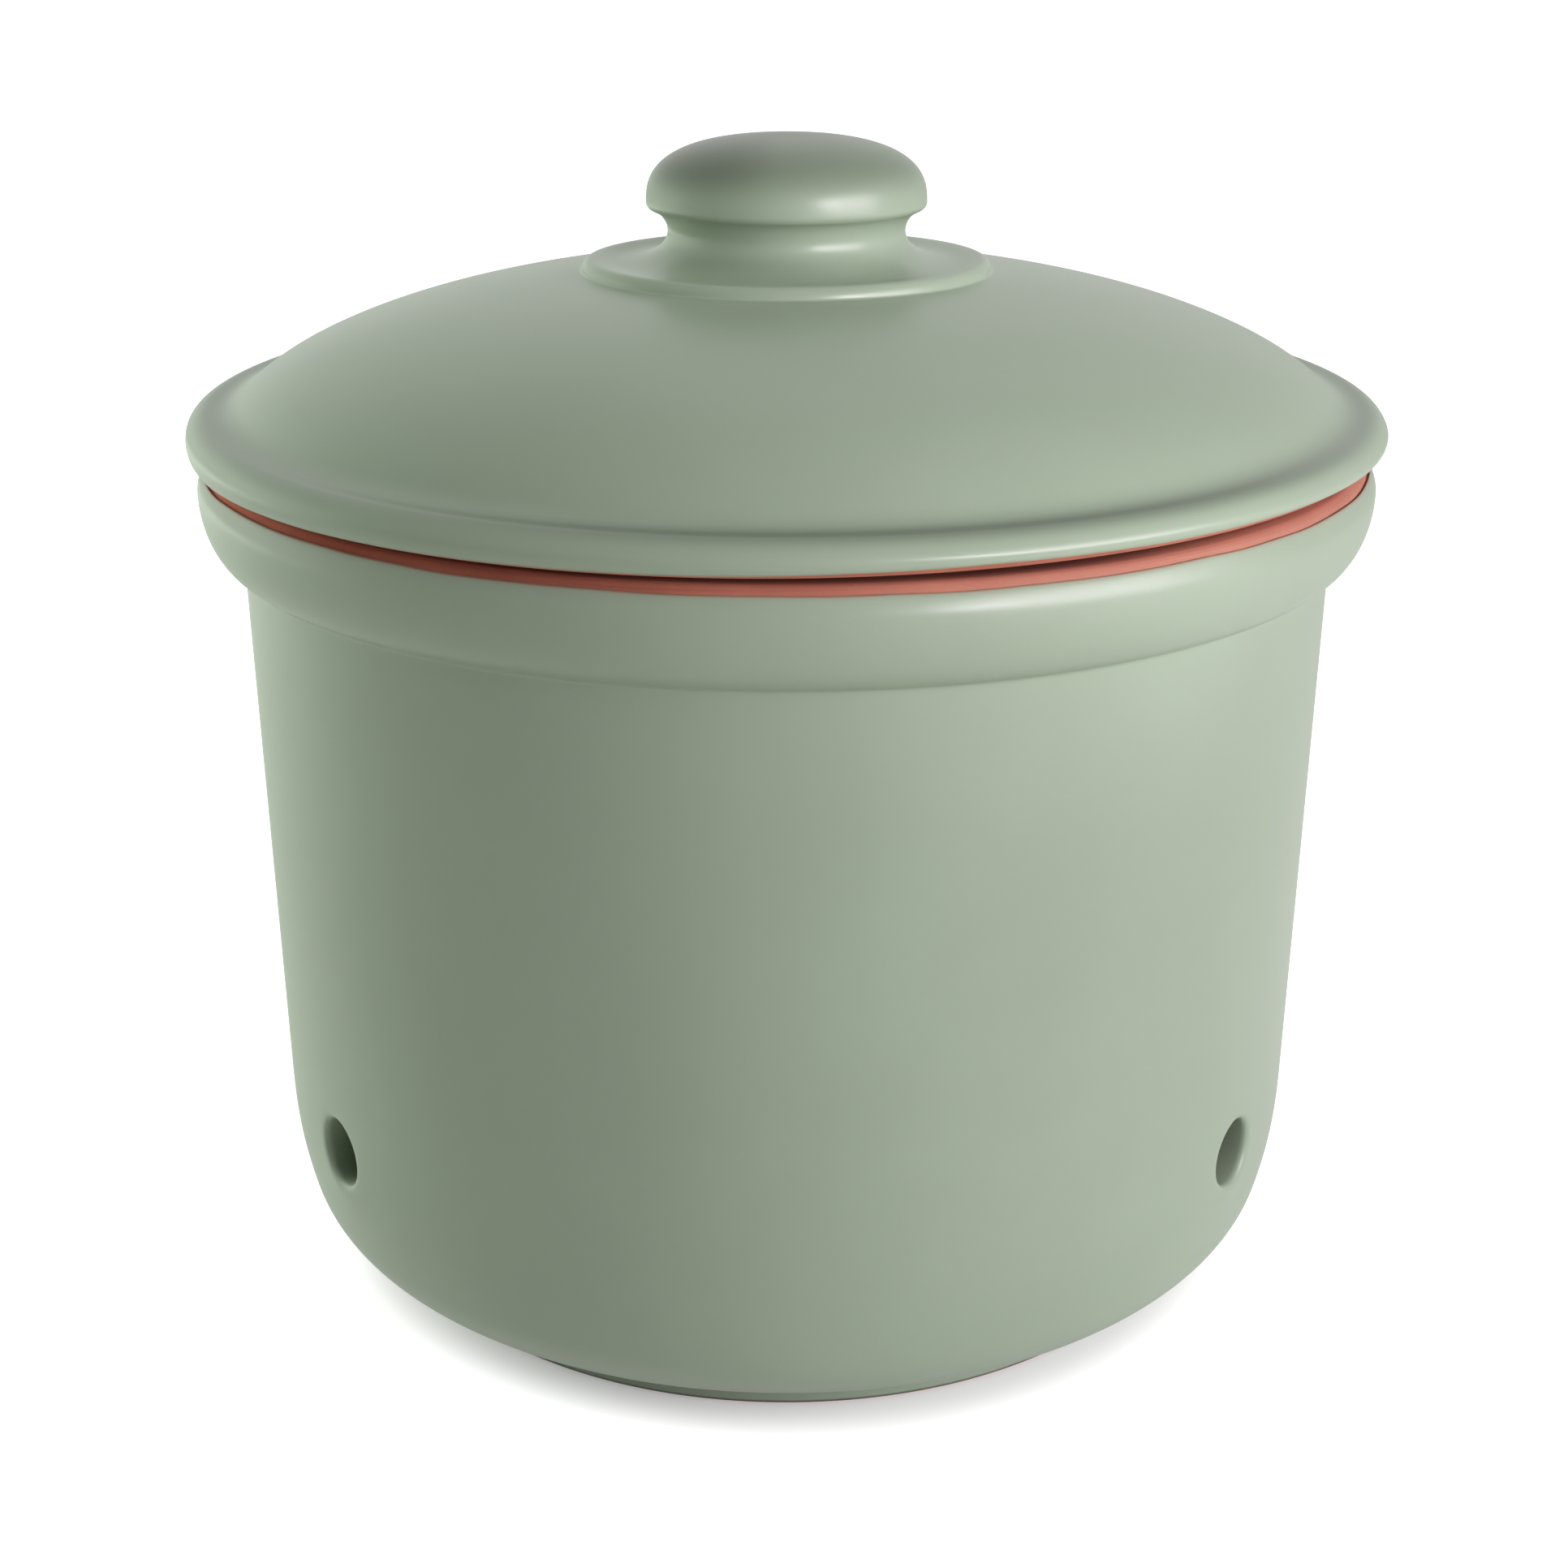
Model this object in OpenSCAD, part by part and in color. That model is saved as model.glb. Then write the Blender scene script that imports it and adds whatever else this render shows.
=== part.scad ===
// Storage crock with a loose lid: two terracotta pieces, each under a satin coat.
// Every piece is turned round +Z, and the front is towards -Y.
// The origin is on the table, in the middle of the foot ring. All sizes are in millimetres.

/* [Crock] */
// Width across the wall at the crease under the collar
wall_top_d = 197.6; // [160:0.2:240]
// How much the wall narrows towards the heel, on each side
wall_taper = 2.5; // [0:0.1:8]
// Height of the crease under the collar
crease_h = 138.6; // [100:0.2:190]
// Height at which the heel's curve meets the straight wall
heel_h = 36; // [31:0.5:50]
// Radius of the heel, the gentle curve below the wall
heel_round = 75; // [50:1:110]
// Radius of the corner, the tight curve under the heel
corner_round = 16.6; // [12:0.2:19]
// Thickness of the clay wall with its coat
wall_t = 8; // [5:0.5:14]
// Thickness of the floor inside the foot ring
floor_t = 10; // [6:0.5:18]
// Radius between the inside wall and the floor
inner_round = 18; // [8:0.5:26]

/* [Foot ring] */
// Height of the foot ring
foot_h = 6.3; // [4:0.1:9]
// How far the foot ring stands in from the end of the corner's curve
foot_in = 1.3; // [0.6:0.1:12]
// Width of the ring that stands on the table
foot_w = 8; // [5:0.5:16]
// Depth of the hollow inside the foot ring
foot_recess = 4; // [1:0.5:6]
// Radius of the ring's outer edge on the table
foot_round = 0.4; // [0.2:0.1:0.6]

/* [Collar and rim] */
// How far the collar swells out from the wall
collar_out = 7.3; // [3:0.1:12]
// Height of the collar, from the crease to the land that the lid rests on
collar_h = 17.8; // [15:0.2:30]
// Radius of the rim's outer shoulder
rim_round = 5.8; // [4:0.1:7.5]
// Thickness across the rim
rim_t = 9.2; // [8.6:0.1:12]
// Radius of the mouth's inner edge
mouth_round = 1.2; // [0.4:0.1:1.3]
// How far below the crease the mouth's flare meets the inside wall
flare_drop = 2; // [0:0.5:12]

/* [Vents] */
// Width of an air vent
vent_d = 12.4; // [6:0.2:18]
// Height of the vents' middle
vent_h = 37.3; // [34:0.1:110]
// Turn of the two front vents from the front, the third being at the back
vent_turn = 56.5; // [30:0.5:90]

/* [Lid] */
// How far the lid's edge stands out past the collar
lid_over = 1.4; // [0:0.1:5]
// Gap between the lid's edge and the land of the rim
edge_gap = 0.9; // [0.3:0.1:1.5]
// Radius of the rolled edge
edge_round = 4; // [3.95:0.05:4.8]
// Height of the rolled edge's middle above its underside
edge_h = 3.3; // [2:0.1:3.45]
// Radius of the hollow between the flat brim and the dome's flank
valley_round = 7; // [1:0.5:8]
// Height above the brim at which the dome's curve starts
flank_h = 2.4; // [2:0.1:4]
// How far the dome's oval stands in from the lid's edge, at the height of the rim
dome_in = 4.9; // [4.2:0.1:8]
// Rise of the dome's oval above the rim
dome_rise = 32.4; // [28:0.1:35]
// Height above the rim at which the hollow under the dome starts to close
hollow_h = 6; // [3:0.1:7]
// Thickness of the lid at its middle
lid_t = 8; // [6:0.5:12]
// Gap all round between the locating ring and the mouth
ring_gap = 1.5; // [0.5:0.1:3]
// Depth of the locating ring below the rim
ring_depth = 8; // [5:0.5:14]
// Thickness of the locating ring
ring_t = 6; // [4:0.5:9]
// Radius of the locating ring's two lower edges
ring_round = 1.5; // [0.5:0.1:1.9]

/* [Knob] */
// Width of the knob's base disc
base_d = 73.4; // [66:0.2:100]
// Height of the disc's edge above the dome
base_step = 1.7; // [1.6:0.1:4]
// Radius of the disc's upper edge
base_round = 1.5; // [0.6:0.1:1.6]
// Width at which the disc starts to rise to the neck
flare_d = 61; // [50:0.5:66]
// Width of the neck at its waist
waist_d = 42.4; // [30:0.2:46]
// Height of the waist above the disc
waist_h = 5.2; // [3:0.1:14]
// Radius of the neck where it runs out under the knob
neck_round = 4.1; // [3:0.1:8]
// Width of the knob
knob_d = 50.1; // [47:0.1:58]
// Radius of the knob's lower edge
lip_round = 1.3; // [0.8:0.1:3]
// Rise of the knob from its widest place to its top
crown_h = 11.5; // [6:0.1:24]
// How full the knob's top is, 2 being an oval
crown_full = 2.6; // [2:0.1:3.5]

/* [Coat] */
// Thickness of the satin coat
coat_t = 0.5; // [0.3:0.05:0.55]
// Height of the coat's lower edge above the table
coat_low = 0.7; // [0.5:0.1:3]
// Height of the bare clay at the rim
bare_rim = 2.1; // [1.5:0.1:4.5]
// Height of the bare clay at the lid's edge
bare_edge = 0.6; // [0.3:0.1:1.8]

/* [Hidden] */
clay_colour = [0.72, 0.43, 0.36];
coat_colour = [0.58, 0.64, 0.56];
// Sides of a turned solid, and steps along a short, a middling and a long curve
turned_sides = 180;
few = 4;
some = 8;
many = 16;

// Crock outside, with its coat: wall, then heel and corner, each tangent to the next
wall_top_r = wall_top_d / 2;
wall_low_r = wall_top_r - wall_taper;
lean = atan2(wall_taper, crease_h - heel_h);
heel_c = [wall_low_r, heel_h] - heel_round * [cos(lean), -sin(lean)];
corner_z = foot_h + corner_round;
heel_less = heel_round - corner_round;
corner_c = [heel_c.x + sqrt(heel_less * heel_less - pow(heel_c.y - corner_z, 2)), corner_z];
heel_a = atan2(heel_c.y - corner_c.y, corner_c.x - heel_c.x);
foot_r = corner_c.x - foot_in;
foot_clay_r = foot_r - coat_t;
foot_in_r = foot_r - foot_w;

// Collar: an oval swell below its widest place, a round shoulder above it
collar_r = wall_top_r + collar_out;
rim_h = crease_h + collar_h;
wide_h = rim_h - rim_round + coat_t;
rim_c = [collar_r - rim_round, wide_h];
rim_coat_a = asin((rim_h - bare_rim - wide_h) / rim_round);
mouth_r = collar_r - rim_t;

// Crock inside
inner_top_r = wall_top_r - wall_t;
flare_low_h = crease_h - flare_drop;
floor_top = foot_recess + floor_t;
inner_z = floor_top + inner_round;
inner_line_r = wall_low_r - wall_t + (inner_z - heel_h) * tan(lean);
inner_c = [inner_line_r - inner_round / cos(lean), inner_z];

// Lid
lid_r = collar_r + lid_over;
edge_low_h = rim_h + edge_gap;
edge_c = [lid_r - edge_round, edge_low_h + edge_h];
edge_coat_a = -asin((edge_h - bare_edge) / edge_round);
edge_low_a = -asin(edge_h / (edge_round - coat_t));
brim_h = edge_c.y + edge_round;
dome_c = [0, rim_h];
dome_r = lid_r - dome_in;
flank_a = asin((brim_h + flank_h - rim_h) / dome_rise);
flank_r = dome_r * cos(flank_a);
flank_lean = atan2(dome_rise * cos(flank_a), dome_r * sin(flank_a));
valley_r = flank_r + flank_h / tan(flank_lean);
valley_c = [valley_r + valley_round * tan(flank_lean / 2), brim_h + valley_round];
ring_r = mouth_r - ring_gap;
ring_in_r = ring_r - ring_t;
ring_low_h = rim_h - ring_depth;

// Knob
base_r = base_d / 2;
dome_end_a = acos(base_r / dome_r);
base_top = dome_c.y + dome_rise * sin(dome_end_a) + base_step;
flare_r = flare_d / 2;
waist_r = waist_d / 2;
knob_r = knob_d / 2;
waist_z = base_top + waist_h;
neck_c = [waist_r + neck_round, waist_z];
lip_x = knob_r - lip_round;
lip_c = [lip_x, waist_z + sqrt(pow(neck_round + lip_round, 2) - pow(neck_c.x - lip_x, 2))];
lip_a = atan2(lip_c.y - neck_c.y, lip_c.x - neck_c.x);

// Points on an oval round c with half-widths h, from angle a to angle b in n steps
function oval(c, h, a, b, n) =
    [for (i = [0:n]) let (t = a + (b - a) * i / n) c + [h.x * cos(t), h.y * sin(t)]];

// Points on a circle of radius r round c
function arc(c, r, a, b, n) = oval(c, [r, r], a, b, n);

// Points from p to q on a soft S that leaves and arrives upright
function ease(p, q, n) =
    [for (i = [0:n]) [p.x + (q.x - p.x) * (1 - cos(180 * i / n)) / 2, p.y + (q.y - p.y) * i / n]];

// Points over a crown of radius r and height h above height z, ending on the axis
function crown(r, h, z, full, n) =
    [for (i = [1:n]) let (t = 90 * i / n) [r * pow(cos(t), 2 / full), z + h * pow(sin(t), 2 / full)]];

// A run of points moved by t to its left, keeping every corner
function left_of(v) = [-v.y, v.x] / norm(v);
function shifted(p, t) =
    [for (i = [0:len(p) - 1])
        let (a = left_of(p[max(i, 1)] - p[max(i, 1) - 1]))
        let (b = left_of(p[min(i + 1, len(p) - 1)] - p[min(i, len(p) - 2)]))
        p[i] + t * (a + b) / (1 + a * b)];

function reversed(p) = [for (i = [len(p) - 1:-1:0]) p[i]];
function part_of(p, first, last) = [for (i = [first:last]) p[i]];
function all_but_last(p) = part_of(p, 0, len(p) - 2);
function all_but_first(p) = part_of(p, 1, len(p) - 1);
function ended_on_axis(p) = concat(all_but_last(p), [[0, p[len(p) - 1].y]]);

// The crock's coat from the foot ring up to its edge on the rim's shoulder, and the clay under it
crock_skin = concat(
    [[foot_r, coat_low], [foot_r, foot_h]],
    arc(corner_c, corner_round, -90, -heel_a, some + few),
    all_but_first(arc(heel_c, heel_round, -heel_a, -lean, few)),
    oval([wall_top_r, wide_h], [collar_out, wide_h - crease_h], -90, 0, some + few),
    all_but_first(arc(rim_c, rim_round, 0, rim_coat_a, few)));
crock_clay = shifted(crock_skin, coat_t);

// The lid's coat from its edge over the dome, then over the knob, and the clay under it
dome_skin = concat(
    arc(edge_c, edge_round, edge_coat_a, 90, many),
    arc(valley_c, valley_round, 270, 270 - flank_lean, few),
    oval(dome_c, [dome_r, dome_rise], flank_a, dome_end_a, many));
knob_skin = concat(
    arc([base_r - base_round, base_top - base_round], base_round, 0, 90, few),
    oval([flare_r, waist_z], [flare_r - waist_r, waist_h], 270, 180, some),
    all_but_first(arc(neck_c, neck_round, 180, lip_a, some)),
    all_but_first(arc(lip_c, lip_round, lip_a - 180, 0, few)),
    crown(knob_r, crown_h, lip_c.y, crown_full, many));
lid_skin = concat(dome_skin, knob_skin);
lid_clay = ended_on_axis(shifted(lid_skin, coat_t));
seat_i = len(dome_skin) - 1;
seat_z = lid_clay[seat_i].y;
lid_in_top = seat_z - lid_t;

// The pot's whole outline, with a given line as its outer side
function crock_outline(side) = concat(
    [[0, foot_recess], [foot_in_r, foot_recess], [foot_in_r, 0]],
    arc([foot_clay_r - foot_round, foot_round], foot_round, -90, 0, few),
    side,
    all_but_first(arc(rim_c, rim_round - coat_t, rim_coat_a, 90, some)),
    arc([mouth_r + mouth_round, rim_h - mouth_round], mouth_round, 90, 180, few),
    ease([mouth_r, ring_low_h], [inner_top_r, flare_low_h], some),
    arc(inner_c, inner_round, -lean, -90, some),
    [[0, floor_top]]);

lid_solid = concat(
    oval([0, rim_h + hollow_h], [ring_in_r, lid_in_top - rim_h - hollow_h], 90, 0, many),
    arc([ring_in_r + ring_round, ring_low_h + ring_round], ring_round, 180, 270, few),
    arc([ring_r - ring_round, ring_low_h + ring_round], ring_round, 270, 360, few),
    [[ring_r, rim_h], [rim_c.x, rim_h], [rim_c.x + edge_gap, edge_low_h]],
    all_but_last(arc(edge_c, edge_round - coat_t, edge_low_a, edge_coat_a, few)),
    part_of(lid_clay, 0, seat_i),
    [[0, seat_z]]);

knob_solid = concat([[0, seat_z]], part_of(lid_clay, seat_i, len(lid_clay) - 1));

module turned(points) {
    rotate_extrude($fn = turned_sides)
        polygon(points);
}

// Three rods of width d through the wall, where the vents are
module vent_rods(d) {
    for (turn = [-vent_turn, vent_turn, 180])
        rotate([0, 0, turn])
            translate([0, -(wall_low_r - 2 * wall_t), vent_h])
                rotate([90, 0, 0])
                    cylinder(d = d, h = 3 * wall_t, $fn = 64);
}

// The thrown pot: foot ring, floor, wall, collar and rim, with three vents
module crock_body() {
    color(clay_colour)
        difference() {
            turned(crock_outline(crock_clay));
            vent_rods(vent_d + 2 * coat_t);
        }
}

// The coat over the pot's outside, which also lines the vents: the linings start in the coat's middle
module crock_glaze() {
    color(coat_colour)
        difference() {
            union() {
                turned(concat(crock_skin, reversed(crock_clay)));
                intersection() {
                    turned(crock_outline(shifted(crock_skin, coat_t / 2)));
                    vent_rods(vent_d + 2 * coat_t);
                }
            }
            vent_rods(vent_d);
        }
}

// The lid: rolled edge, dome with a flat seat for the knob, and the ring that keeps it in the mouth
module lid_body() {
    color(clay_colour)
        turned(lid_solid);
}

// The knob with its neck and base disc, set on the dome's seat
module lid_knob() {
    color(clay_colour)
        turned(knob_solid);
}

// The coat over the lid and its knob
module lid_glaze() {
    color(coat_colour)
        turned(concat(lid_skin, reversed(lid_clay)));
}

crock_body();
crock_glaze();
lid_body();
lid_knob();
lid_glaze();
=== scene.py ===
# %% [markdown]
# # A lidded storage crock in Blender
# The crock is two pieces of terracotta, a pot and a lid, each dipped in a satin sage-green coat.
# The imported CAD model is the fixed frame: its nodes say where every surface is, in metres.
# We load it first; the boxes of its nodes are read where a piece needs them.

# %% Load the imported model
import math

import bmesh
import bpy
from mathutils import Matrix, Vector, noise


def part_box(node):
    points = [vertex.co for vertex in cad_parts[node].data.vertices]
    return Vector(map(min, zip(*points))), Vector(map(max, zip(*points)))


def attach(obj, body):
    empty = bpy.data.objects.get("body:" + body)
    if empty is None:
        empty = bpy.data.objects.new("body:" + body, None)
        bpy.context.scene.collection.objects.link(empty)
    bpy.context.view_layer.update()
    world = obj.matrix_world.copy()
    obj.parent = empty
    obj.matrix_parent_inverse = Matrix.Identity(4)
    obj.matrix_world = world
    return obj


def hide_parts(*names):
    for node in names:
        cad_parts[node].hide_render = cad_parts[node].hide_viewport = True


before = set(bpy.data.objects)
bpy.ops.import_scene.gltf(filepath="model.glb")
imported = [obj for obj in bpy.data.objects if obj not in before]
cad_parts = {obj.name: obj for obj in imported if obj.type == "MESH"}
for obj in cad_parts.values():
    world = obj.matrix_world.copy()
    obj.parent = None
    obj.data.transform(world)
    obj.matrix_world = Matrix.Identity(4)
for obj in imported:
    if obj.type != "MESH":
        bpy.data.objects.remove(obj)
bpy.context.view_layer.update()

# %% [markdown]
# ## The camera
# The photograph is square and was taken a little above the lid, close enough that the crock's sides lean in.
# A camera could be placed by eye, but then its place would be a guess.
# Instead its place, its tilt and its focal length come from fitting the crock's outline in the picture.

# %% Place the camera
IMAGE_SIDE = 1932
FOCAL_PIXELS = 3223.0
CAMERA_PLACE = (-0.00045, -0.4732, 0.2562)
CAMERA_DOWN = math.radians(19.5)

camera = bpy.data.cameras.new("camera")
camera.sensor_width = 36.0
camera.lens = camera.sensor_width * FOCAL_PIXELS / IMAGE_SIDE
eye = bpy.data.objects.new("camera", camera)
eye.location = CAMERA_PLACE
eye.rotation_euler = (math.pi / 2 - CAMERA_DOWN, 0, 0)
bpy.context.scene.collection.objects.link(eye)
bpy.context.scene.camera = eye
print("lens %.2f mm" % camera.lens)

# %% [markdown]
# ## A profile from a CAD node
# A potter turns a pot, and a lathe does the same in a mesh: a profile goes round the axis.
# The profile could be drawn again point by point, but the CAD node already holds it.
# So we copy the node, merge its loose triangles, cut the copy at the plane y = 0, and keep only the cut on
# the +X side. No vent lies there, so the cut is the clean outline of the clay or of its coat.

# %% Cut a profile
MERGE = 1e-6
CUT_SLACK = 2e-6
ON_PLANE = 4e-6
STRAIGHT = math.radians(0.3)


def everything(bm):
    return bm.verts[:] + bm.edges[:] + bm.faces[:]


def profile_of(name):
    bm = bmesh.new()
    bm.from_mesh(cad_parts[name].data)
    bmesh.ops.remove_doubles(bm, verts=bm.verts[:], dist=MERGE)
    bmesh.ops.bisect_plane(bm, geom=everything(bm), dist=CUT_SLACK, plane_co=(0, 0, 0), plane_no=(0, 1, 0))
    off = [v for v in bm.verts if abs(v.co.y) > ON_PLANE or v.co.x < -ON_PLANE]
    bmesh.ops.delete(bm, geom=off, context="VERTS")
    bmesh.ops.delete(bm, geom=bm.faces[:], context="FACES_ONLY")
    bmesh.ops.dissolve_limit(bm, angle_limit=STRAIGHT, verts=bm.verts[:], edges=bm.edges[:])
    for v in bm.verts:
        v.co = (v.co.x if v.co.x > ON_PLANE else 0.0, 0.0, v.co.z)
    print(name, "profile has", len(bm.verts), "points")
    return bm


def point_near(bm, x, z):
    return min(bm.verts, key=lambda v: (v.co.x - x) ** 2 + (v.co.z - z) ** 2)


# %% [markdown]
# ## Softer corners and even steps
# Wet clay and a fired coat have no knife edges, so the corners of a profile are rounded with a vertex bevel.
# Long straight stretches then get extra points, because the lathe's faces should be about as tall as wide:
# the subdivision surface that finishes each piece bends evenly only over even faces.

# %% Round and refine a profile
def soften(bm, corner, reach, segments=3):
    bmesh.ops.bevel(bm, geom=[corner], offset=reach, offset_type="OFFSET", segments=segments, profile=0.5,
                    affect="VERTICES", material=-1)


def refine(bm, longest, near=None):
    for edge in bm.edges[:]:
        if near and not all(near(v) for v in edge.verts):
            continue
        cuts = math.ceil(edge.calc_length() / longest) - 1
        if cuts > 0:
            bmesh.ops.subdivide_edges(bm, edges=[edge], cuts=cuts)


def add_row(bm, z):
    bmesh.ops.bisect_plane(bm, geom=everything(bm), dist=MERGE, plane_co=(0, 0, z), plane_no=(0, 0, 1))


# %% Turn a profile on the lathe
STEPS = 192


def lathe(bm, steps=STEPS):
    bmesh.ops.spin(bm, geom=everything(bm), cent=(0, 0, 0), axis=(0, 0, 1), dvec=(0, 0, 0), angle=2 * math.pi,
                   steps=steps, use_merge=True, use_duplicate=False)
    bmesh.ops.remove_doubles(bm, verts=bm.verts[:], dist=MERGE)
    bmesh.ops.recalc_face_normals(bm, faces=bm.faces[:])
    print("lathe made", len(bm.faces), "faces")


# %% [markdown]
# ## Node helpers
# Materials are node trees. A few short helpers keep the cells below readable: one adds a node and sets or links
# its inputs by name, and the others do arithmetic, mix colours and remap values on sockets.

# %% Helpers for material nodes
def linear(red, green, blue):
    def one(c):
        c = c / 255
        return c / 12.92 if c <= 0.04045 else ((c + 0.055) / 1.055) ** 2.4
    return (one(red), one(green), one(blue), 1.0)


def put(tree, value, socket):
    if isinstance(value, bpy.types.NodeSocket):
        tree.links.new(value, socket)
    else:
        socket.default_value = value


def add_node(tree, kind, settings=None, **inputs):
    made = tree.nodes.new("ShaderNode" + kind)
    for key, value in (settings or {}).items():
        setattr(made, key, value)
    for key, value in inputs.items():
        put(tree, value, made.inputs[key.replace("_", " ")])
    return made


def sums(tree, operation, first, second=0.0):
    made = tree.nodes.new("ShaderNodeMath")
    made.operation = operation
    put(tree, first, made.inputs[0])
    put(tree, second, made.inputs[1])
    return made.outputs[0]


def blend(tree, factor, first, second):
    made = tree.nodes.new("ShaderNodeMix")
    made.data_type = "RGBA"
    put(tree, factor, made.inputs[0])
    put(tree, first, made.inputs[6])
    put(tree, second, made.inputs[7])
    return made.outputs[2]


def between(tree, factor, first, second):
    return sums(tree, "ADD", first, sums(tree, "MULTIPLY", factor, sums(tree, "SUBTRACT", second, first)))


def spread(tree, value, low, high, new_low, new_high, curve="LINEAR"):
    made = add_node(tree, "MapRange", {"interpolation_type": curve}, Value=value, From_Min=low, From_Max=high,
                    To_Min=new_low, To_Max=new_high)
    return made.outputs[0]


# %% [markdown]
# ## Effects that clay and coat share
# Both finishes show the same making: clouds of slightly different colour from the firing, a fine grain, and
# the lines that the turning tool left round the axis. Each effect is a node group, built once and placed in
# both materials with its own sizes. Patterns read Object coordinates, so they stay on the pot when it moves.

# %% Build the shared node groups
def new_group(name, inputs, outputs):
    group = bpy.data.node_groups.new(name, "ShaderNodeTree")
    for label, value in inputs:
        group.interface.new_socket(label, in_out="INPUT", socket_type="NodeSocketFloat").default_value = value
    for label in outputs:
        group.interface.new_socket(label, in_out="OUTPUT", socket_type="NodeSocketFloat")
    return group, group.nodes.new("NodeGroupInput"), group.nodes.new("NodeGroupOutput")


def object_place(tree):
    return tree.nodes.new("ShaderNodeTexCoord").outputs["Object"]


grain_group, ins, outs = new_group("fired_grain", [("Cloud scale", 20.0), ("Grain scale", 900.0)],
                                   ["Cloud", "Grain"])
for label, detail in (("Cloud", 3.0), ("Grain", 2.0)):
    cloud = add_node(grain_group, "TexNoise", Vector=object_place(grain_group),
                     Scale=ins.outputs[label + " scale"], Detail=detail, Roughness=0.55)
    grain_group.links.new(cloud.outputs[0], outs.inputs[label])

line_group, ins, outs = new_group("turning_lines", [("Line scale", 600.0), ("Drift", 8.0)], ["Lines"])
LINE_SLANT = 0.7
x, y, z = add_node(line_group, "SeparateXYZ", Vector=object_place(line_group)).outputs
square = sums(line_group, "ADD", sums(line_group, "MULTIPLY", x, x), sums(line_group, "MULTIPLY", y, y))
outwards = sums(line_group, "MULTIPLY", sums(line_group, "SQRT", square), LINE_SLANT)
along = sums(line_group, "SUBTRACT", z, outwards)
stretched = add_node(line_group, "CombineXYZ", X=sums(line_group, "MULTIPLY", x, ins.outputs["Drift"]),
                     Y=sums(line_group, "MULTIPLY", y, ins.outputs["Drift"]),
                     Z=sums(line_group, "MULTIPLY", along, ins.outputs["Line scale"]))
streaks = add_node(line_group, "TexNoise", Vector=stretched.outputs[0], Scale=1.0, Detail=2.0, Roughness=0.6)
line_group.links.new(streaks.outputs[0], outs.inputs["Lines"])
print("groups", [g.name for g in bpy.data.node_groups])


# %% Place a group in a material
def place_group(tree, group, **values):
    made = tree.nodes.new("ShaderNodeGroup")
    made.node_tree = group
    for key, value in values.items():
        made.inputs[key.replace("_", " ")].default_value = value
    return made


def new_material(name):
    material = bpy.data.materials.new(name)
    material.use_nodes = True
    return material, material.node_tree, material.node_tree.nodes["Principled BSDF"]


# %% [markdown]
# ## The satin coat
# The coat is an opaque engobe, fired to a soft sheen. It is grey-green, a little cloudy, with a few pits
# where bubbles broke. At its edges, and a little in the vents, it grows thin and warm, where the clay shines
# through. How thin it is comes from an attribute of the mesh, because only the mesh knows where its edges are.
# A second attribute says where shade is painted into the coat: in the hollow at the dome's foot, most in
# front, and on the knob's crown, most on its left.

# %% Make the coat's material
COAT_LIGHT = linear(151, 167, 146)
COAT_DARK = linear(145, 160, 139)
COAT_THIN = linear(176, 140, 122)
COAT_PIT = linear(96, 100, 86)
# Colour of the painted shade in the lid's hollow and on the knob's crown.
COAT_PAINTED_SHADE = linear(84, 97, 76)
PIT_CELLS, PIT_RARE, PIT_SHADE, PIT_DEPTH = 42.0, 0.62, 0.55, 0.8
PIT_CORE, PIT_RIM = 0.012, 0.028

coat, tree, shader = new_material("satin_coat")
grain = place_group(tree, grain_group, Cloud_scale=16.0, Grain_scale=1400.0)
lines = place_group(tree, line_group, Line_scale=420.0, Drift=6.0)
cloud = spread(tree, grain.outputs["Cloud"], 0.3, 0.7, 0.0, 1.0)
colour = blend(tree, cloud, COAT_DARK, COAT_LIGHT)
thin = add_node(tree, "Attribute", {"attribute_name": "thin"}).outputs["Fac"]
ragged = sums(tree, "ADD", thin, spread(tree, grain.outputs["Grain"], 0.3, 0.7, -0.25, 0.25))
thin_mask = spread(tree, ragged, 0.25, 1.1, 0.0, 0.6)
colour = blend(tree, thin_mask, colour, COAT_THIN)
# Painted shade: darkens the coat in the lid's hollow and on the knob's crown.
painted_shade = add_node(tree, "Attribute", {"attribute_name": "painted_shade"}).outputs["Fac"]
colour = blend(tree, painted_shade, colour, COAT_PAINTED_SHADE)
cells = add_node(tree, "TexVoronoi", Vector=object_place(tree), Scale=PIT_CELLS)
draw = add_node(tree, "SeparateXYZ", Vector=cells.outputs["Color"]).outputs[0]
chosen = sums(tree, "GREATER_THAN", draw, PIT_RARE)
pit = sums(tree, "MULTIPLY", spread(tree, cells.outputs["Distance"], PIT_CORE, PIT_RIM, 1.0, 0.0), chosen)
colour = blend(tree, sums(tree, "MULTIPLY", pit, PIT_SHADE), colour, COAT_PIT)
tree.links.new(colour, shader.inputs["Base Color"])
tree.links.new(spread(tree, grain.outputs["Cloud"], 0.3, 0.7, 0.31, 0.37), shader.inputs["Roughness"])

height = sums(tree, "ADD", sums(tree, "MULTIPLY", lines.outputs["Lines"], 0.5),
              sums(tree, "MULTIPLY", grain.outputs["Grain"], 0.25))
height = sums(tree, "SUBTRACT", height, sums(tree, "MULTIPLY", pit, PIT_DEPTH))
bump = add_node(tree, "Bump", Height=height, Strength=0.35, Distance=0.00012)
tree.links.new(bump.outputs[0], shader.inputs["Normal"])
print("coat has", len(tree.nodes), "nodes")
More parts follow.
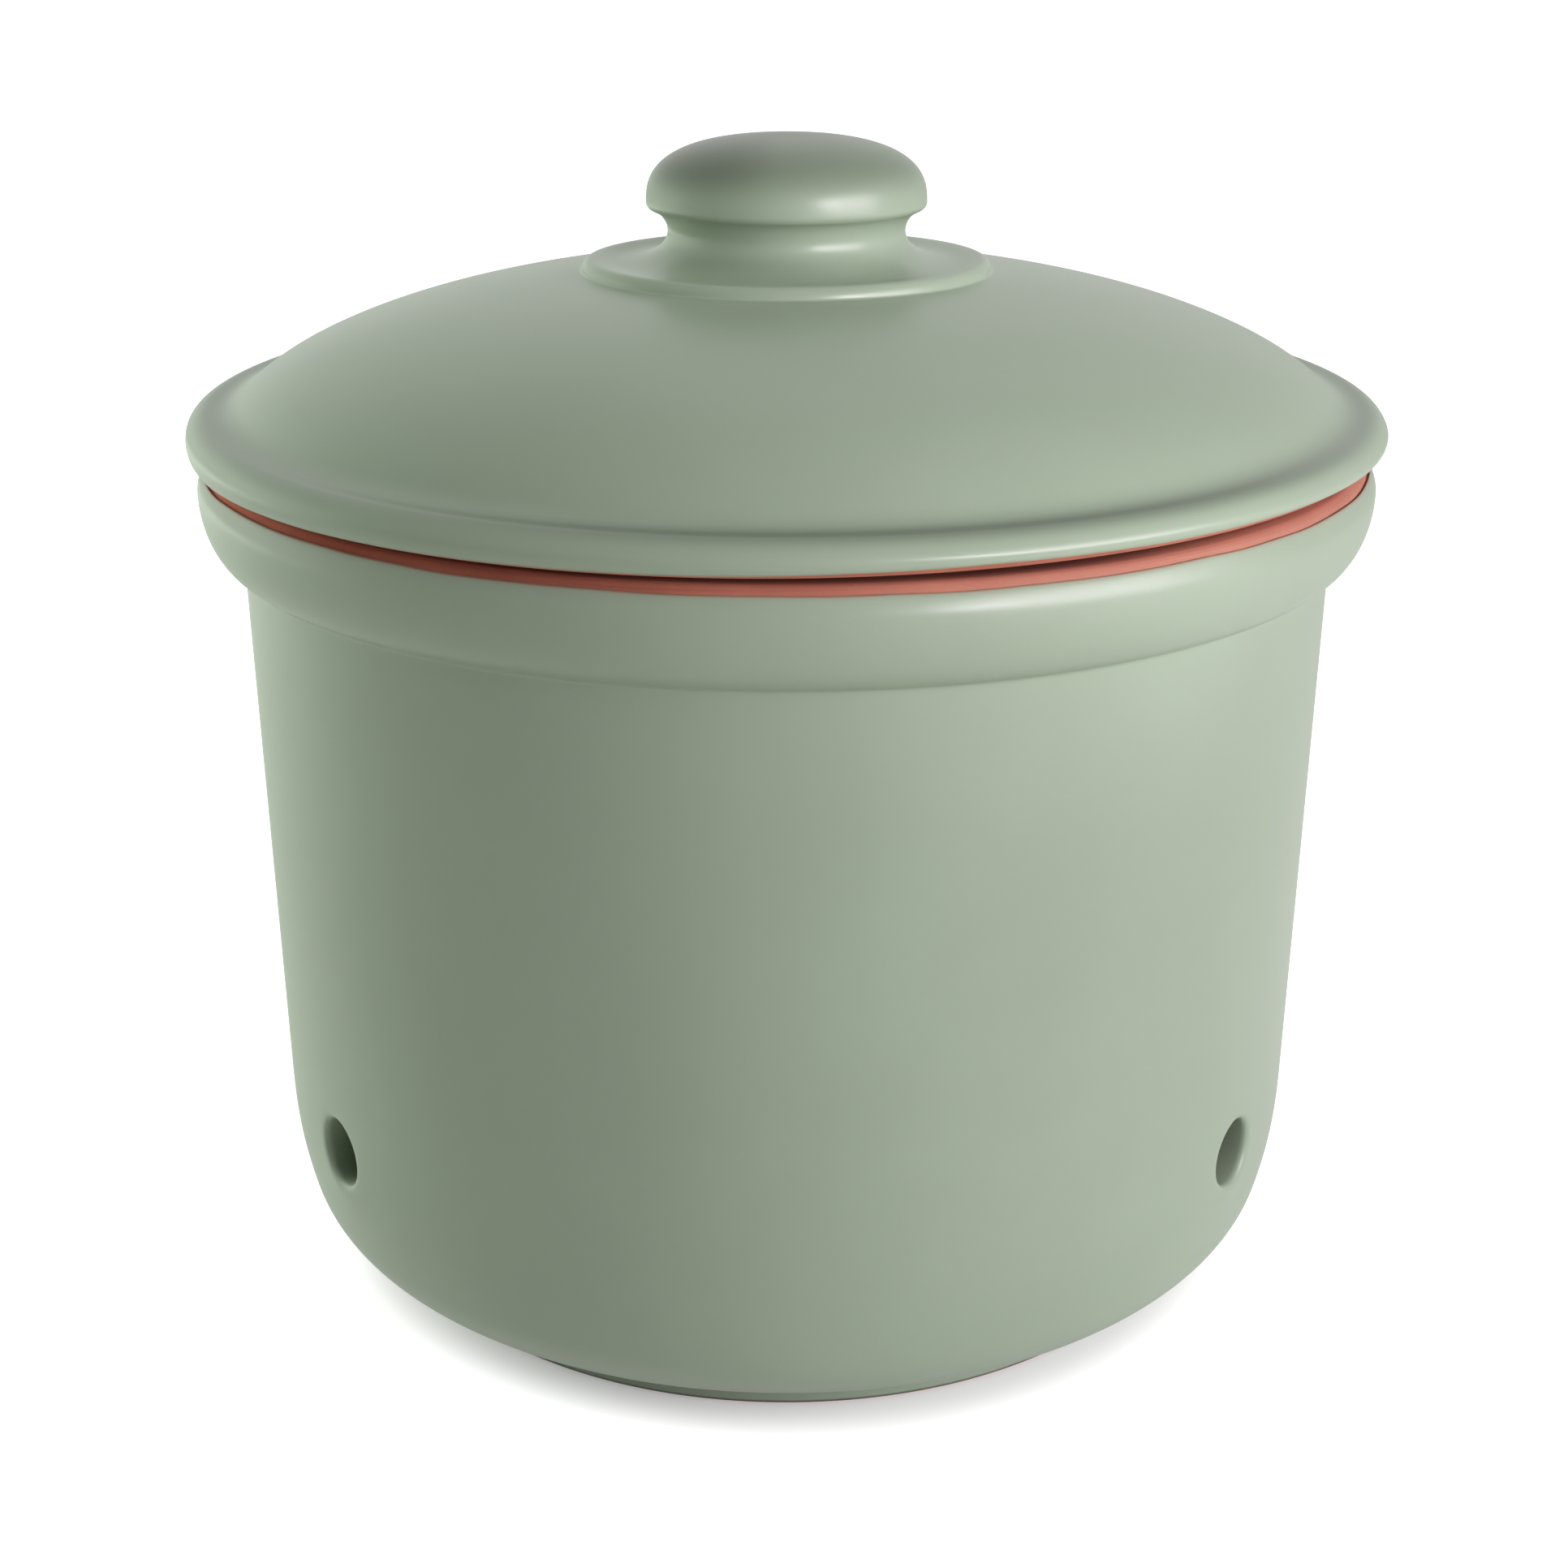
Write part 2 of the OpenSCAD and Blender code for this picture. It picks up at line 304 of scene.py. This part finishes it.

# %% [markdown]
# ## The bare clay
# Bare terracotta shows at the rim, at the lid's edge, under the foot and inside. It is matt and pinkish red,
# with fine lines from the wheel. A rough diffuse surface is enough, with the colour moving along the lines.
# Two attributes of the mesh change it: a pale tone near the coat's edge on the right, partly the thinning coat
# and partly painted sheen, and painted shade in the narrow gap where lid and rim meet.

# %% Make the clay's material
CLAY_LIGHT = linear(196, 128, 105)
CLAY_DARK = linear(175, 105, 86)
CLAY_LINE = linear(146, 81, 69)
# Pale tone near the coat's edge on the right: partly thin coat, partly painted sheen.
CLAY_THIN_SHEEN = linear(202, 160, 140)
# Colour of the painted shade in the gap between lid and rim.
CLAY_PAINTED_SHADE = linear(70, 38, 32)
THIN_SHEEN_MOST, GAP_SHADE_MOST = 0.4, 0.9

clay, tree, shader = new_material("bare_clay")
grain = place_group(tree, grain_group, Cloud_scale=28.0, Grain_scale=1100.0)
lines = place_group(tree, line_group, Line_scale=900.0, Drift=10.0)
cloud = spread(tree, grain.outputs["Cloud"], 0.3, 0.7, 0.0, 1.0)
colour = blend(tree, cloud, CLAY_DARK, CLAY_LIGHT)
line_mask = spread(tree, lines.outputs["Lines"], 0.5, 0.75, 0.0, 0.5)
colour = blend(tree, line_mask, colour, CLAY_LINE)
fleck = spread(tree, grain.outputs["Grain"], 0.58, 0.7, 0.0, 0.4)
colour = blend(tree, fleck, colour, CLAY_LIGHT)
# Two masks from the mesh: a pale tone on the right that is partly thin coat and partly painted sheen, and
# painted shade in the gap under the lid.
for attribute, tone, most in (("thin_sheen", CLAY_THIN_SHEEN, THIN_SHEEN_MOST), ("gap_shade", CLAY_PAINTED_SHADE, GAP_SHADE_MOST)):
    mask = add_node(tree, "Attribute", {"attribute_name": attribute}).outputs["Fac"]
    colour = blend(tree, sums(tree, "MULTIPLY", mask, most), colour, tone)
tree.links.new(colour, shader.inputs["Base Color"])
tree.links.new(spread(tree, grain.outputs["Grain"], 0.3, 0.7, 0.78, 0.92), shader.inputs["Roughness"])
shader.inputs["Specular IOR Level"].default_value = 0.25
height = sums(tree, "ADD", sums(tree, "MULTIPLY", lines.outputs["Lines"], 0.8),
              sums(tree, "MULTIPLY", grain.outputs["Grain"], 0.5))
bump = add_node(tree, "Bump", Height=height, Strength=0.5, Distance=0.0003)
tree.links.new(bump.outputs[0], shader.inputs["Normal"])
print("clay has", len(tree.nodes), "nodes")

# %% [markdown]
# ## From a mesh to a piece
# Every piece is finished the same way: smooth shading, one level of subdivision, its material, and the body it
# rides on. The CAD node it stands for is hidden.

# %% Finish a piece
def finish_piece(bm, name, node, body, material):
    mesh = bpy.data.meshes.new(name)
    bm.to_mesh(mesh)
    bm.free()
    mesh.shade_smooth()
    mesh.materials.append(material)
    piece = bpy.data.objects.new(name, mesh)
    bpy.context.scene.collection.objects.link(piece)
    rounding = piece.modifiers.new("rounding", "SUBSURF")
    rounding.levels = 1
    rounding.render_levels = 1
    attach(piece, body)
    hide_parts(node)
    print(name, "has", len(mesh.polygons), "faces before rounding")


# %% [markdown]
# ## The vents
# Three finger-wide holes low in the wall let air in. A boolean would cut them, but it leaves slivers that
# shade badly and has no soft lip. Instead a block of faces is taken out of the wall, the gap's edge is drawn
# to a circle on the wall, and the circle is extruded inwards ring by ring, so that the lip is part of the wall.

# %% Sizes of the vents
MM = 0.001
VENT_H = 37.3 * MM
VENT_R = 6.2 * MM
COAT_T = 0.5 * MM
VENT_AXES = [math.radians(a) for a in (-90 - 56.5, -90 + 56.5, 90)]
BLOCK = 5
ROW_STEP = 3.1 * MM
GAP_R = 7.9 * MM
WALL_R = 96.3 * MM
INNER_R = 88.35 * MM
LEAN = math.atan2(2.5, 102.6)


def vent_rows(bm):
    rows = [VENT_H + (k - BLOCK / 2) * ROW_STEP for k in range(-2, BLOCK + 3)]
    low, high = rows[0] - ROW_STEP / 2, rows[-1] + ROW_STEP / 2
    for z in rows:
        add_row(bm, z)
    extra = [v for v in bm.verts if low < v.co.z < high and min(abs(v.co.z - z) for z in rows) > MERGE]
    bmesh.ops.dissolve_verts(bm, verts=extra)
    print("vent rows", len(rows), "dropped", len(extra))


# %% Cut one vent on one side of the wall
def along_vent(axis, co):
    return co.x * math.cos(axis) + co.y * math.sin(axis), co.y * math.cos(axis) - co.x * math.sin(axis)


def open_gap(bm, axis, outwards):
    half_turn, half_rise = BLOCK * math.pi / STEPS, BLOCK * ROW_STEP / 2
    block = []
    for face in bm.faces:
        centre = face.calc_center_median()
        if abs(centre.z - VENT_H) > half_rise:
            continue
        out, side = along_vent(axis, centre)
        if out < 0 or abs(math.atan2(side, out)) > half_turn:
            continue
        if (face.normal.x * centre.x + face.normal.y * centre.y > 0) == outwards:
            block.append(face)
    rim = {e for f in block for e in f.edges if sum(g in block for g in e.link_faces) == 1}
    bmesh.ops.delete(bm, geom=block, context="FACES")
    return list(rim)


def draw_round(verts, axis, radius, place):
    """Moves a loop of vertices to a circle round the vent's axis; place(side, up) is how far out it lies."""
    around = sorted(verts, key=lambda v: math.atan2(v.co.z - VENT_H, along_vent(axis, v.co)[1]))
    first = sum(math.atan2(v.co.z - VENT_H, along_vent(axis, v.co)[1]) - 2 * math.pi * i / len(around)
                for i, v in enumerate(around)) / len(around)
    for i, v in enumerate(around):
        turn = first + 2 * math.pi * i / len(around)
        side, up = radius * math.cos(turn), radius * math.sin(turn)
        out = place(side, up)
        v.co = (out * math.cos(axis) - side * math.sin(axis), out * math.sin(axis) + side * math.cos(axis),
                VENT_H + up)


def on_wall(radius_at_vent, depth=0.0):
    def place(side, up):
        r = radius_at_vent + up * math.tan(LEAN)
        return math.sqrt(r * r - side * side) - depth
    return place


def extrude_ring(bm, edges):
    made = bmesh.ops.extrude_edge_only(bm, edges=edges)["geom"]
    return [g for g in made if isinstance(g, bmesh.types.BMEdge)]


def ring_verts(edges):
    return list({v for e in edges for v in e.verts})


# %% Cut a lined vent
def cut_vent(bm, axis, outer_r, outer_rings, inner_r, inner_rings):
    """Each ring is (radius, depth into the wall), from the gap inwards; the two last rings are bridged."""
    gaps = [open_gap(bm, axis, True), open_gap(bm, axis, False)]
    last = []
    for edges, wall, rings, sign in ((gaps[0], outer_r, outer_rings, 1), (gaps[1], inner_r, inner_rings, -1)):
        draw_round(ring_verts(edges), axis, GAP_R, on_wall(wall))
        for radius, depth in rings:
            edges = extrude_ring(bm, edges)
            draw_round(ring_verts(edges), axis, radius, on_wall(wall, sign * depth))
        last += edges
    bmesh.ops.bridge_loops(bm, edges=last)
    bmesh.ops.recalc_face_normals(bm, faces=bm.faces[:])


# %% [markdown]
# ## Wavy edges
# A dipped coat ends in a line that is almost level, but not quite. The last millimetres of the coat are slid
# along the surface by smooth noise round the axis, and the same vertices get the attribute for a thin coat.

# %% Slide a coat's edge
THIN_REACH = 0.6 * MM
KNOB_CLEAR = 50 * MM


def wave(angle, seed):
    slow = noise.noise(Vector((2.2 * math.cos(angle), 2.2 * math.sin(angle), seed)))
    quick = noise.noise(Vector((9.0 * math.cos(angle), 9.0 * math.sin(angle), seed + 5)))
    return 0.65 * slow + 0.35 * quick


def ease(t):
    t = min(1.0, max(0.0, t))
    return t * t * (3 - 2 * t)


def facing(v):
    """Turn round the axis from the front, to the right positive."""
    return math.atan2(v.co.x, -v.co.y)


def towards(v, side):
    """1 where a vertex faces the given side, easing to 0 at 60 degrees from it."""
    return ease(2 * math.cos(facing(v) - side) - 1)


def slide_edge(bm, edge_z, reach, slope, amount, seed, thin, further):
    """slope is the surface's direction at the edge as (outwards, up); reach is how far from the edge points
    still move; further(v) is how far the edge lies from the CAD edge before the noise is added."""
    count = 0
    for v in bm.verts:
        near = 1 - abs(v.co.z - edge_z) / reach
        r = math.hypot(v.co.x, v.co.y)
        if near <= 0 or r < KNOB_CLEAR:
            continue
        shift = ease(near) * (further(v) + amount * wave(math.atan2(v.co.y, v.co.x), seed))
        scale = (r + shift * slope[0]) / r
        v.co = (v.co.x * scale, v.co.y * scale, v.co.z + shift * slope[1])
        v[thin] = max(v[thin], min(1.0, 1 - abs(v.co.z - shift * slope[1] - edge_z) / THIN_REACH))
        count += 1
    print("edge at %.1f mm moved" % (edge_z / MM), count, "points")


# %% [markdown]
# ## The pot's coat
# The coat covers the outside from just above the table to under the rim, and lines the vents. The crease
# under the collar and the corner at the foot are rounded first; then the wall gets even rows for the vents.
# The coat's upper end lies a little higher on the rim than in the CAD model, as the photograph shows it.

# %% Make the pot's coat
CREASE, CREASE_ROUND = (98.8 * MM, 138.6 * MM), 1.0 * MM
FOOT, FOOT_ROUND = (76.48 * MM, 6.3 * MM), 0.6 * MM
FOOT_EDGE, FOOT_CLEAR = 1.2 * MM, 0.15 * MM
COAT_WALL_R = WALL_R + 0.03 * MM
BORE_R = VENT_R + COAT_T
LIP = [(7.2 * MM, 0.1 * MM), (6.6 * MM, 0.4 * MM), (6.25 * MM, 1.0 * MM), (VENT_R, 2.0 * MM),
       (VENT_R, 7.9 * MM)]
LINING = [(BORE_R, -1.2 * MM), (BORE_R, -7.4 * MM)]
LIP_REACH = GAP_R - 0.3 * MM
VENT_THIN, VENT_FADE = 0.3, 9 * MM
RIM_REACH, RIM_SLOPE, RIM_WAVE, RIM_SEED = 3.0 * MM, (-0.5, 0.87), 0.5 * MM, 1.0
COAT_RAISED = 0.6 * MM

low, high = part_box("crock_glaze")
bm = profile_of("crock_glaze")
soften(bm, point_near(bm, *CREASE), CREASE_ROUND)
soften(bm, point_near(bm, *FOOT), FOOT_ROUND, 2)
vent_rows(bm)
refine(bm, 7 * MM)
lathe(bm)
for axis in VENT_AXES:
    cut_vent(bm, axis, COAT_WALL_R, LIP, COAT_WALL_R - COAT_T, LINING)
thin = bm.verts.layers.float.new("thin")
for v in bm.verts:
    for axis in VENT_AXES:
        out, side = along_vent(axis, v.co)
        if out > 0 and math.hypot(side, v.co.z - VENT_H) < LIP_REACH:
            v[thin] = min(VENT_THIN, max(0.0, (WALL_R - out) / VENT_FADE))
slide_edge(bm, high.z, RIM_REACH, RIM_SLOPE, RIM_WAVE, RIM_SEED, thin, lambda v: COAT_RAISED)
coat_end = high.z + COAT_RAISED
for v in bm.verts:
    if v.co.z < FOOT_EDGE:
        v.co.z -= low.z - FOOT_CLEAR
finish_piece(bm, "crock_coat", "crock_glaze", "crock", coat)

# %% [markdown]
# ## The pot
# The clay pot is what the coat sits on. It shows at the rim, under the foot and, with the lid off, inside.
# Its profile is the CAD node's, and its vents are as wide as the linings' outside. The rim gets a pale tone on
# the right, where the coat ran thin and a sheen is painted, and painted shade in the gap under the lid, less on
# the right where the light falls.

# %% Make the pot
SLEEVE = [(BORE_R, 0.0), (BORE_R, 2.0 * MM)]
INNER_LIP = [(7.1 * MM, 0.15 * MM), (BORE_R, 0.8 * MM), (BORE_R, 2.0 * MM)]
# Pale tone on the right near the coat's edge, partly thin coat and partly painted sheen.
THIN_SHEEN_REACH, THIN_SHEEN_SIDE = 1.4 * MM, math.radians(50)
# Painted shade in the gap under the lid: where it starts below the rim's top, and how much less it is on the
# lit right side.
GAP_SHADE_FROM, GAP_SHADE_TO = 0.75 * MM, 0.2 * MM
GAP_LIT_SIDE, GAP_LIT_SHARE = math.radians(80), 0.6
SEAT_IN, SEAT_OUT = 97.5 * MM, 99.0 * MM

_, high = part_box("crock_body")
bm = profile_of("crock_body")
vent_rows(bm)
refine(bm, 9 * MM)
lathe(bm)
for axis in VENT_AXES:
    cut_vent(bm, axis, COAT_WALL_R - COAT_T, SLEEVE, INNER_R, INNER_LIP)
thin_sheen = bm.verts.layers.float.new("thin_sheen")
gap_shade = bm.verts.layers.float.new("gap_shade")
for v in bm.verts:
    r = math.hypot(v.co.x, v.co.y)
    if v.co.z > coat_end - THIN_SHEEN_REACH and r > SEAT_IN:
        v[thin_sheen] = ease(1 - (v.co.z - coat_end) / THIN_SHEEN_REACH) * towards(v, THIN_SHEEN_SIDE)
        # Painted shade in the gap under the lid, less on the lit right side.
        risen = ease((high.z - GAP_SHADE_FROM - v.co.z) / (GAP_SHADE_TO - GAP_SHADE_FROM))
        seat = ease((r - SEAT_IN) / (SEAT_OUT - SEAT_IN))
        v[gap_shade] = risen * seat * (1 - GAP_LIT_SHARE * towards(v, GAP_LIT_SIDE))
finish_piece(bm, "crock_clay", "crock_body", "crock", clay)

# %% [markdown]
# ## The lid's coat
# One skin covers the lid from its rolled edge over the dome, the disc and the knob. The corner between disc
# and dome is filled by the coat, so it is rounded here, and the disc's edge is a full soft roll.
# A hand-made lid isn't quite level: its brim lies about a millimetre lower in front than behind, and its lower
# edge rises a little to the right. Both are small moves of the finished mesh, made for coat and clay alike.

# %% Tip the brim
TOP_FROM, TOP_TO, TOP_TIP = 80.0 * MM, 104.0 * MM, 1.2 * MM
EDGE_FROM, EDGE_TO, EDGE_LEFT, EDGE_RIGHT = 96.0 * MM, 107.0 * MM, 0.9 * MM, 1.3 * MM
EDGE_LOW, EDGE_HIGH = 158.0 * MM, 163.0 * MM


def tip_brim(bm):
    for v in bm.verts:
        turn, r = facing(v), math.hypot(v.co.x, v.co.y)
        top = -TOP_TIP * math.cos(turn) * ease((r - TOP_FROM) / (TOP_TO - TOP_FROM))
        edge = (EDGE_RIGHT if turn > 0 else EDGE_LEFT) * math.sin(turn) * (1 - ease(-math.cos(turn)))
        edge *= ease((r - EDGE_FROM) / (EDGE_TO - EDGE_FROM))
        share = ease((v.co.z - EDGE_LOW) / (EDGE_HIGH - EDGE_LOW))
        v.co.z += top * share + edge * (1 - share)


# %% Raise the disc's roll in the profile
ROLL_FROM, ROLL_TOP, DISC_R, ROLL_LOW = 30.0 * MM, 35.2 * MM, 36.75 * MM, 186.1 * MM
ROLL_RISE, ROLL_DROP = 0.6 * MM, 0.6


def on_disc(v):
    return ROLL_FROM < v.co.x < DISC_R and v.co.z > ROLL_LOW


def raise_roll(bm):
    for v in bm.verts:
        if on_disc(v):
            drop = ROLL_DROP * ease((v.co.x - ROLL_TOP) / (DISC_R - ROLL_TOP))
            v.co.z += ROLL_RISE * ease((v.co.x - ROLL_FROM) / (ROLL_TOP - ROLL_FROM)) * (1 - drop)


# %% Make the lid's coat
LID_STEPS = 144
DISC_FOOT, DISC_FILL = (36.7 * MM, 186.6 * MM), 2.4 * MM
EDGE_REACH, EDGE_SLOPE, EDGE_WAVE, EDGE_SEED = 2.2 * MM, (0.6, 0.8), 0.4 * MM, 7.0
BARE_MORE, BARE_SIDE = 0.6 * MM, math.radians(45)

low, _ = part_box("lid_glaze")
bm = profile_of("lid_glaze")
soften(bm, point_near(bm, *DISC_FOOT), DISC_FILL, 5)
refine(bm, 1.6 * MM, on_disc)
refine(bm, 6 * MM)
raise_roll(bm)
lathe(bm, LID_STEPS)
thin = bm.verts.layers.float.new("thin")
slide_edge(bm, low.z, EDGE_REACH, EDGE_SLOPE, EDGE_WAVE, EDGE_SEED, thin,
           lambda v: BARE_MORE * towards(v, BARE_SIDE))

# %% [markdown]
# ## Painted shade on the lid
# Shade is painted into the hollow inside the brim, most of all in front, and onto the crown, darkest on its
# left. Each vertex gets one number for it. The material could find the hollow by its height, but the shade
# on the crown and in the hollow changes from side to side, which a number on the mesh says most simply.

# %% Mark the painted shade and finish the lid's coat
# Reach of the painted shade on the crown and in the hollow.
CROWN_FROM, CROWN_TO = 199.0 * MM, 206.5 * MM
CROWN_LEAST, CROWN_SIDE, CROWN_R = 0.62, math.radians(-60), 15.0 * MM
HOLLOW_R, HOLLOW_REACH, HOLLOW_FLOOR = 103.0 * MM, 4.2 * MM, 162.0 * MM
HOLLOW_SHADE_LEAST, HOLLOW_SHADE_MOST, HOLLOW_SHADE_SIDE = 0.35, 0.8, math.radians(15)

painted_shade = bm.verts.layers.float.new("painted_shade")
for v in bm.verts:
    r = math.hypot(v.co.x, v.co.y)
    # Painted shade on the crown, full on its left side and lighter elsewhere.
    crown_less_shade = (1 - CROWN_LEAST) * (1 - towards(v, CROWN_SIDE)) * ease(r / CROWN_R)
    crown = ease((v.co.z - CROWN_FROM) / (CROWN_TO - CROWN_FROM)) * (1 - crown_less_shade)
    # Painted shade in the hollow at the dome's foot, strongest in front.
    hollow = 1 - abs(r - HOLLOW_R) / HOLLOW_REACH
    hollow_shade = HOLLOW_SHADE_LEAST + (HOLLOW_SHADE_MOST - HOLLOW_SHADE_LEAST) * towards(v, HOLLOW_SHADE_SIDE)
    v[painted_shade] = max(crown, hollow_shade * ease(hollow) if v.co.z > HOLLOW_FLOOR else 0.0)
tip_brim(bm)
finish_piece(bm, "lid_coat", "lid_glaze", "lid", coat)

# %% [markdown]
# ## The lid
# Under its coat the lid is bare clay: the underside, the locating ring and a thin line at the edge.
# The knob's clay is wholly under the coat, so the CAD node stays as it is and only gets the clay's material.

# %% Make the lid and finish the knob
bm = profile_of("lid_body")
refine(bm, 9 * MM)
lathe(bm)
tip_brim(bm)
finish_piece(bm, "lid_clay", "lid_body", "lid", clay)
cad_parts["lid_knob"].material_slots[0].material = clay

# %% [markdown]
# ## Floor
# The photograph is a studio shot on white paper, with only a short shadow at the foot. The floor is pale and
# takes the shadow. Its white comes from what the camera and mirror-like rays see of it, through the Light Path
# node, so it adds no light to the crock. That glow is weak near the crock and full further away, so its dip is
# a painted shadow round the foot, over the lamps' own shadow; in the coat's mirror the glow is weaker too.

# %% Lay the floor
FLOOR_HALF = 6.0
NEAR_GLOW = 0.26
SHADOW_FROM, SHADOW_TO = 0.0755, 0.095
PAPER_SEEN = (0.8, 0.8, 0.8, 1)
PAPER_BOUNCE = (0.82, 0.82, 0.8, 1)
MIRRORED_GLOW = 0.3


def seen_directly(tree):
    rays = add_node(tree, "LightPath").outputs
    seen = sums(tree, "MAXIMUM", rays["Is Camera Ray"], rays["Is Glossy Ray"])
    return sums(tree, "MAXIMUM", seen, rays["Is Transmission Ray"])


def stage_plane(name, corners, material):
    bm = bmesh.new()
    bm.faces.new([bm.verts.new(c) for c in corners])
    mesh = bpy.data.meshes.new(name)
    bm.to_mesh(mesh)
    bm.free()
    mesh.materials.append(material)
    plane = bpy.data.objects.new(name, mesh)
    bpy.context.scene.collection.objects.link(plane)
    return plane


paper, tree, shader = new_material("white_paper")
seen = seen_directly(tree)
tree.links.new(blend(tree, seen, PAPER_BOUNCE, PAPER_SEEN), shader.inputs["Base Color"])
shader.inputs["Roughness"].default_value = 0.9
shader.inputs["Specular IOR Level"].default_value = 0.0
away = add_node(tree, "VectorMath", {"operation": "LENGTH"})
tree.links.new(object_place(tree), away.inputs[0])
# Painted shadow: the glow dips in a ring round the foot, over the lamps' own shadow.
glow_here = spread(tree, away.outputs["Value"], SHADOW_FROM, SHADOW_TO, NEAR_GLOW, 1.0, "SMOOTHSTEP")
mirrored = between(tree, add_node(tree, "LightPath").outputs["Is Glossy Ray"], seen, MIRRORED_GLOW)
glow = add_node(tree, "Emission", Color=(1, 1, 1, 1), Strength=sums(tree, "MULTIPLY", mirrored, glow_here))
both = tree.nodes.new("ShaderNodeAddShader")
tree.links.new(shader.outputs[0], both.inputs[0])
tree.links.new(glow.outputs[0], both.inputs[1])
tree.links.new(both.outputs[0], tree.nodes["Material Output"].inputs["Surface"])
h = FLOOR_HALF
floor = stage_plane("floor", [(-h, -h, 0), (h, -h, 0), (h, h, 0), (-h, h, 0)], paper)
print("floor is %.0f m wide" % floor.dimensions.x)

# %% [markdown]
# ## Light
# The highlights on the knob, the neck and the lid's edge lie to the right of the middle, the wall is darkest
# left of the middle, and it brightens again towards its left outline. So a soft key lamp stands to the right of
# the camera and a broad panel stands on the left, a little behind the crock. A narrow beam picks out the knob.
# Little light comes from above, and what the coat mirrors is the white studio, a little darker on the right.

# %% Place the lamps
LAMP_AIM = Vector((0, 0, 0.11))
ROSY = (1.0, 0.93, 1.0)
LEAFY = (0.97, 1.0, 0.94)


def softbox(name, azimuth, height, distance, width, tall, power, tint):
    light = bpy.data.lights.new(name, "AREA")
    light.color = tint
    light.shape = "RECTANGLE"
    light.size, light.size_y = width, tall
    light.energy = power
    box = bpy.data.objects.new(name, light)
    turn = math.radians(azimuth)
    box.location = (distance * math.sin(turn), -distance * math.cos(turn), height)
    box.rotation_euler = (LAMP_AIM - box.location).to_track_quat("-Z", "Y").to_euler()
    bpy.context.scene.collection.objects.link(box)
    print(name, "lamp at", [round(c, 2) for c in box.location])
    return box


softbox("key", azimuth=53, height=0.40, distance=1.1, width=0.9, tall=0.55, power=13.0, tint=ROSY)
left_panel = softbox("left_panel", azimuth=-117, height=0.28, distance=1.3, width=1.1, tall=0.6, power=18.5,
                     tint=LEAFY)
left_panel.visible_glossy = False

# %% Pick out the knob
KNOB_MIDDLE = Vector((0, 0, 0.193))
BEAM_PLACE = Vector((0.6, -0.9, 0.42))
BEAM_SPREAD = math.radians(4.6)
BEAM_POWER = 100.0
BEAM_SOFT = 0.08

beam = bpy.data.lights.new("knob_beam", "SPOT")
beam.energy = BEAM_POWER
beam.spot_size, beam.spot_blend = BEAM_SPREAD, 1.0
beam.shadow_soft_size = BEAM_SOFT
beam.color = ROSY
knob_beam = bpy.data.objects.new("knob_beam", beam)
knob_beam.location = BEAM_PLACE
knob_beam.rotation_euler = (KNOB_MIDDLE - BEAM_PLACE).to_track_quat("-Z", "Y").to_euler()
bpy.context.scene.collection.objects.link(knob_beam)
print("beam is %.0f mm wide at the knob" % ((KNOB_MIDDLE - BEAM_PLACE).length * BEAM_SPREAD / MM))

# %% Set the sky
SKY_TOP = 1.35
SKY_NARROW = 8.0
SKY_TINT = (0.92, 1.0, 0.85, 1)
WHITE = (1, 1, 1, 1)
RIGHT_DARK, RIGHT_FROM, RIGHT_TO = 0.35, 0.1, 0.6

world = bpy.data.worlds.new("studio")
world.use_nodes = True
bpy.context.scene.world = world
tree = world.node_tree
direction = tree.nodes.new("ShaderNodeTexCoord").outputs["Generated"]
across, _, up = add_node(tree, "SeparateXYZ", Vector=direction).outputs
overhead = sums(tree, "POWER", sums(tree, "MAXIMUM", up, 0.0), SKY_NARROW)
seen = seen_directly(tree)
shade = spread(tree, across, RIGHT_FROM, RIGHT_TO, 0.0, RIGHT_DARK, "SMOOTHSTEP")
shade = sums(tree, "MULTIPLY", shade, add_node(tree, "LightPath").outputs["Is Glossy Ray"])
sky = between(tree, seen, sums(tree, "MULTIPLY", overhead, SKY_TOP), sums(tree, "SUBTRACT", 1.0, shade))
tree.links.new(sky, tree.nodes["Background"].inputs["Strength"])
tree.links.new(blend(tree, seen, SKY_TINT, WHITE), tree.nodes["Background"].inputs["Color"])
bpy.context.scene.view_settings.view_transform = "Standard"
